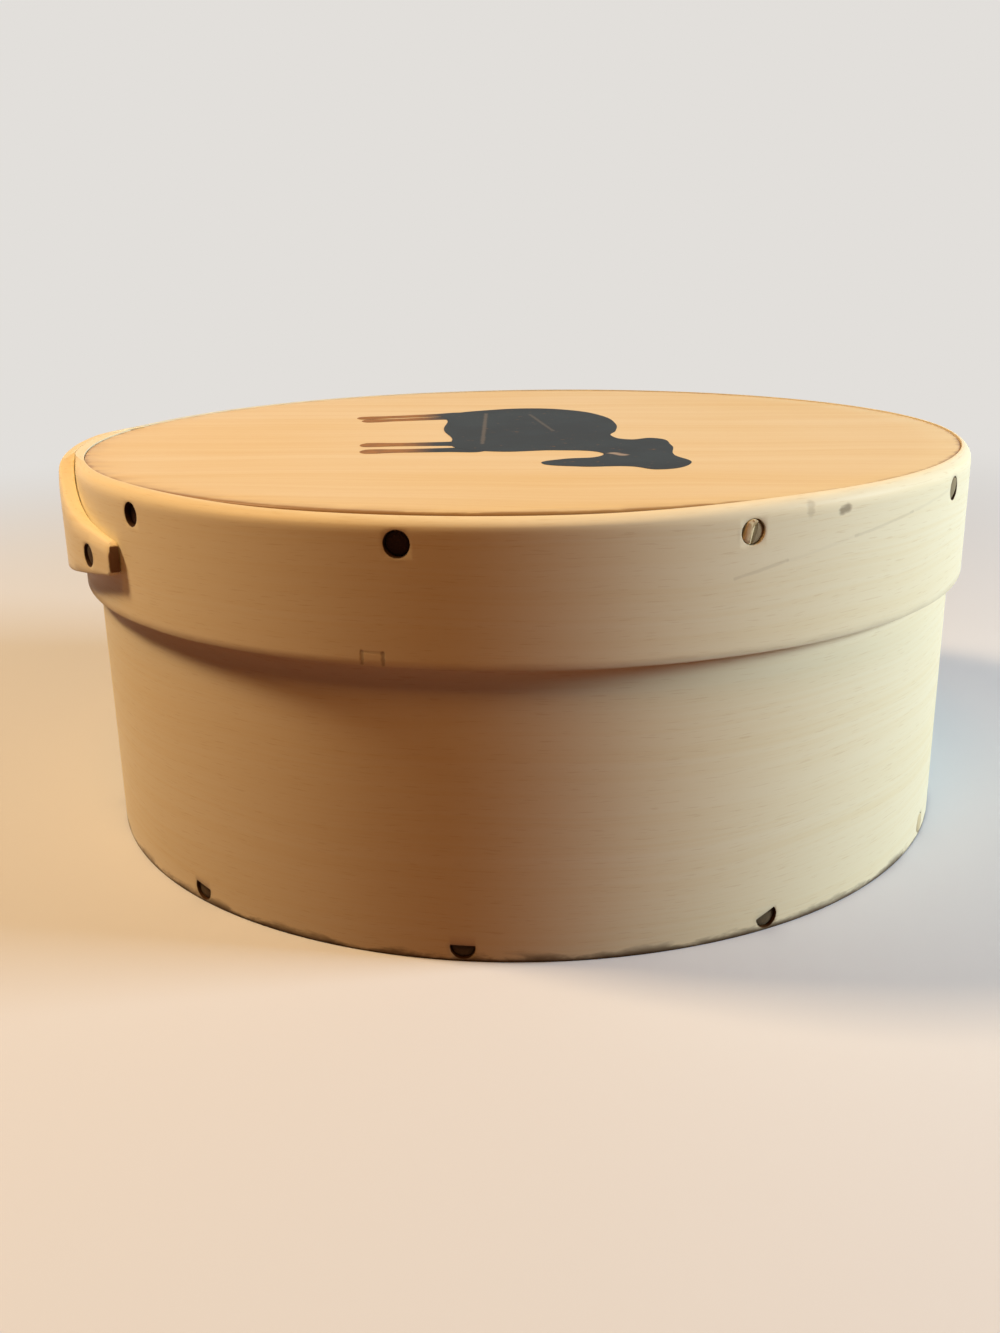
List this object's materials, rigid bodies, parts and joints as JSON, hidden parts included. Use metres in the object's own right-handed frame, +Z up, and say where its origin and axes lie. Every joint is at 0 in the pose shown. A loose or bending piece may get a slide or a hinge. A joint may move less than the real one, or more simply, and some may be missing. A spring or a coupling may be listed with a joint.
{
  "type": "bentwood storage box",
  "caption": "Round bentwood box with a lift-off lid, lapped and pegged bands and solid wooden boards, for storing dry goods or small things.",
  "frame": {"origin": "middle of the flat underside, on the axis of the box band", "axes": "+Z up along the axis of the bands, -Y towards the viewer of the picture, +X to the viewer's right"},
  "size_m": [0.2318, 0.2278, 0.0945],
  "materials": {
    "band_wood": "pale cream straight-grained wood, satin from handling",
    "board_wood": "warmer honey-coloured wood, worn smooth",
    "peg_wood": "dark end grain, slightly sunk",
    "lid_paint": "thin worn slate-black paint on the lid board"
  },
  "bodies": {
    "box": {"box_band": "band_wood", "bottom_board": "board_wood", "box_pegs": "peg_wood", "box_lap_pegs": "peg_wood"},
    "lid": {"lid_band": "band_wood", "lid_board": "board_wood", "lid_pegs": "peg_wood", "lid_lap_pegs": "peg_wood"}
  },
  "joints": [
    {"name": "lid_lift", "type": "slide", "parent": "box", "child": "lid", "axis": [0, 0, 1], "range_m": [0, 0.15]}
  ]
}
